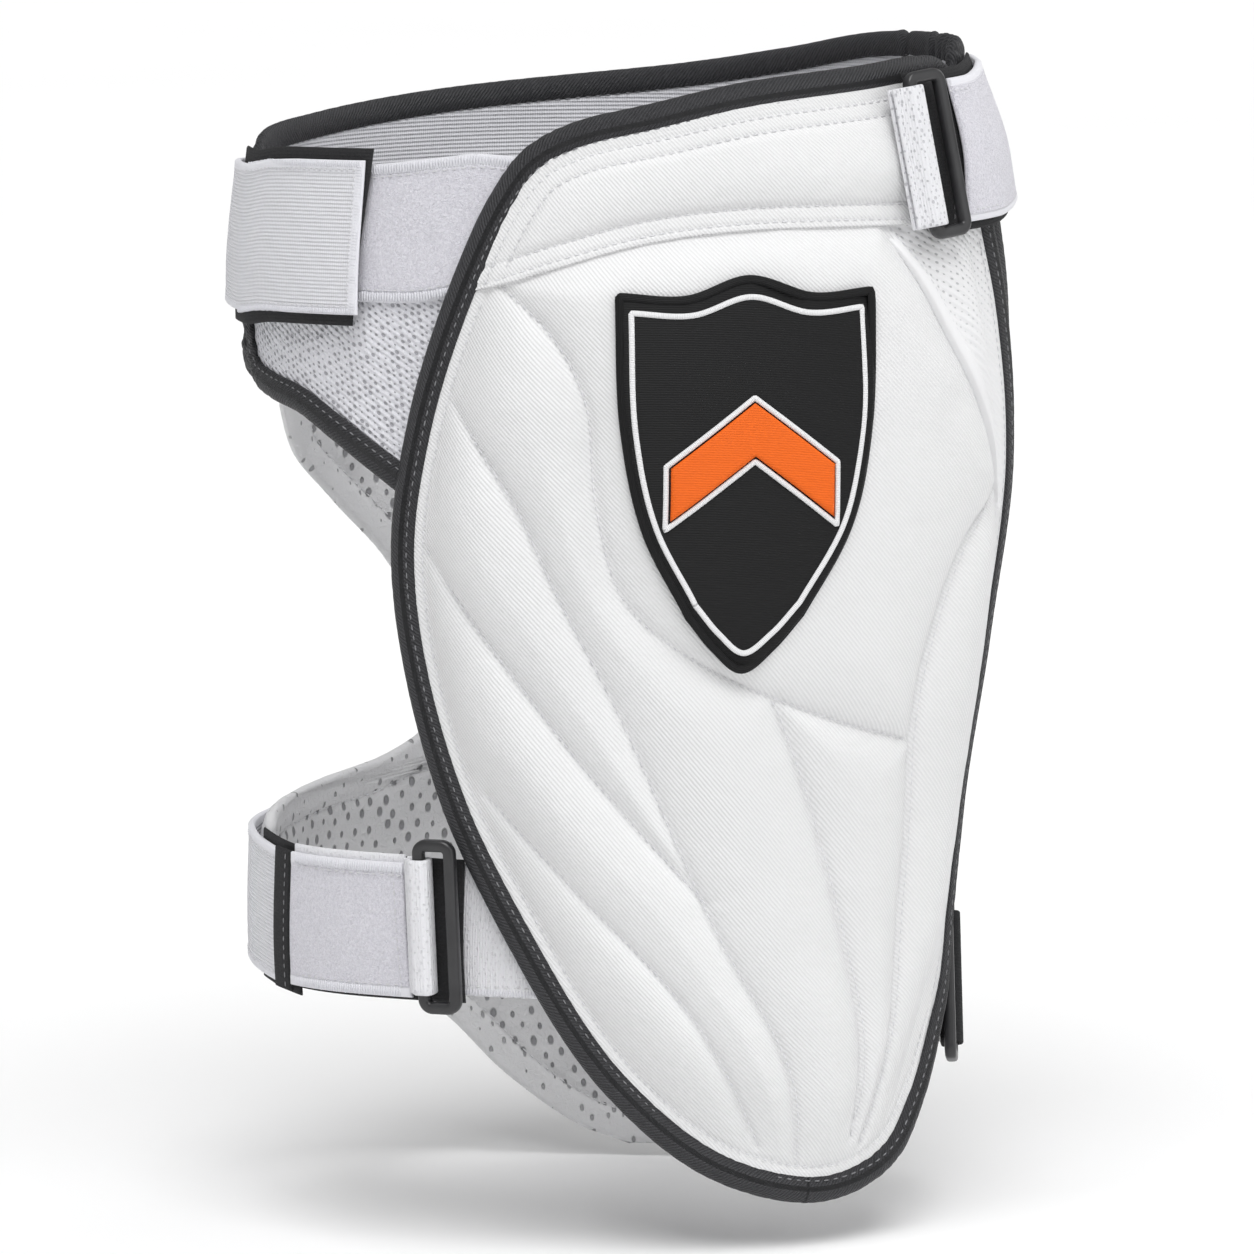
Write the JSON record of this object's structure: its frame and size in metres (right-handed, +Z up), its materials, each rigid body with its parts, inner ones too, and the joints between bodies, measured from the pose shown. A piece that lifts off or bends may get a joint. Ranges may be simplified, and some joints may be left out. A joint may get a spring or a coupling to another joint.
{
  "type": "cricket thigh guard",
  "caption": "Padded guard worn on a batter's thigh: quilted front pad with a bound rim and a perforated back pad, joined by an elastic band and two straps with slide rings.",
  "frame": {"origin": "centre of the thigh hollow at half its height, where the thigh sits", "axes": "+Z up the thigh, +X to the right of somebody who faces the front pad, +Y from the front pad towards the back pad"},
  "size_m": [0.2613, 0.2123, 0.3887],
  "materials": {
    "pad_skin": "white coated fabric, matt, fine twill grain",
    "white_mesh": "white spacer mesh with small holes",
    "dark_binding": "charcoal grained binding, satin",
    "emblem_field": "black embroidered field with a white inline",
    "emblem_chevron": "orange satin stitch",
    "pile_cloth": "white brushed loop pile",
    "ribbed_elastic": "white ribbed elastic",
    "white_webbing": "white knitted webbing",
    "black_tape": "black hook tape, matt",
    "ring_plastic": "charcoal moulded plastic, satin",
    "perforated_lining": "light grey padded lining with small dark perforations"
  },
  "bodies": {
    "root": {"thigh_pad": "pad_skin", "top_panel": "pad_skin", "mesh_gusset": "white_mesh", "pad_binding": "dark_binding", "emblem_patch": "emblem_field", "emblem_chevron": "emblem_chevron", "mesh_wing": "white_mesh", "wing_binding": "dark_binding", "wing_pile_panel": "pile_cloth", "back_band": "ribbed_elastic", "band_binding": "dark_binding", "back_pad": "perforated_lining", "upper_pile_strap": "pile_cloth", "upper_elastic_strap": "ribbed_elastic", "upper_hook_tape": "black_tape", "ring_tape": "black_tape", "top_ring": "ring_plastic", "top_loop": "white_webbing", "lower_anchor": "white_webbing", "lower_hook_tape": "black_tape", "lower_strap_return": "white_webbing", "lower_pile_strap": "pile_cloth", "lower_ring_left": "ring_plastic", "lower_loop_left": "white_webbing", "lower_tape_right": "black_tape", "lower_ring_right": "ring_plastic", "lower_loop_right": "white_webbing", "lower_elastic_strap": "ribbed_elastic"}
  },
  "joints": []
}
